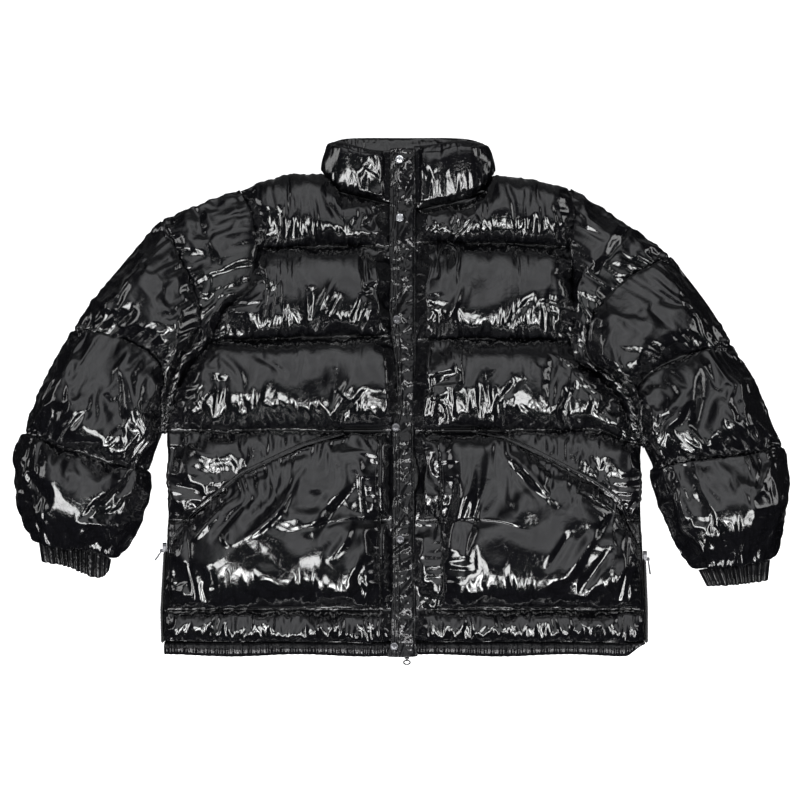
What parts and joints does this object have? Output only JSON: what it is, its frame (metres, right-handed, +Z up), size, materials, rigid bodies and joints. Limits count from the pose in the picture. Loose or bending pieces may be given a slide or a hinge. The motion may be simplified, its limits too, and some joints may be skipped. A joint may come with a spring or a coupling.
{
  "type": "puffer jacket",
  "caption": "High-gloss black padded jacket laid flat on its back, zipped and snapped, with a stand collar, slanted patch pockets, gathered cuffs and zipped side vents.",
  "frame": {"origin": "on the floor under the middle of the laid-out jacket", "axes": "+X toward the wearer's left sleeve, +Y toward the collar, +Z up out of the front"},
  "size_m": [1.1253, 0.767, 0.1069],
  "materials": {
    "shell_nylon": "high-gloss coated nylon over padding, puckered along its quilting seams",
    "cuff_elastic": "gathered glossy nylon over elastic",
    "snap_metal": "polished snap caps",
    "zip_metal": "dark gunmetal sliders and pulls",
    "zip_tape": "black woven tape with coil teeth"
  },
  "bodies": {
    "jacket": {"back_panel": "shell_nylon", "front_right": "shell_nylon", "front_left": "shell_nylon", "sleeve_right": "shell_nylon", "sleeve_left": "shell_nylon", "collar": "shell_nylon", "pocket_right": "shell_nylon", "pocket_left": "shell_nylon", "pocket_welt_right": "shell_nylon", "pocket_welt_left": "shell_nylon", "placket": "shell_nylon", "hem_binding_right": "shell_nylon", "hem_binding_left": "shell_nylon", "hem_binding_back": "shell_nylon", "cuff_right": "cuff_elastic", "cuff_left": "cuff_elastic", "snap_1": "snap_metal", "snap_2": "snap_metal", "snap_3": "snap_metal", "snap_4": "snap_metal", "snap_5": "snap_metal", "snap_6": "snap_metal", "main_zip": "zip_tape", "main_slider": "zip_metal", "side_zip_right": "zip_tape", "side_slider_right": "zip_metal", "side_zip_left": "zip_tape", "side_slider_left": "zip_metal"},
    "main_pull": {"main_pull": "zip_metal"},
    "side_pull_right": {"side_pull_right": "zip_metal"},
    "side_pull_left": {"side_pull_left": "zip_metal"}
  },
  "joints": [
    {"name": "main_pull_hinge", "type": "hinge", "parent": "jacket", "child": "main_pull", "pos_m": [0.01, -0.3734, 0.044], "axis": [-1, 0, 0], "range_deg": [0, 130]},
    {"name": "side_pull_right_hinge", "type": "hinge", "parent": "jacket", "child": "side_pull_right", "pos_m": [-0.3462, -0.2195, 0.034], "axis": [0, 0, -1], "range_deg": [-30, 55]},
    {"name": "side_pull_left_hinge", "type": "hinge", "parent": "jacket", "child": "side_pull_left", "pos_m": [0.35991, -0.2315, 0.034], "axis": [0, 0, 1], "range_deg": [-6, 82]}
  ]
}
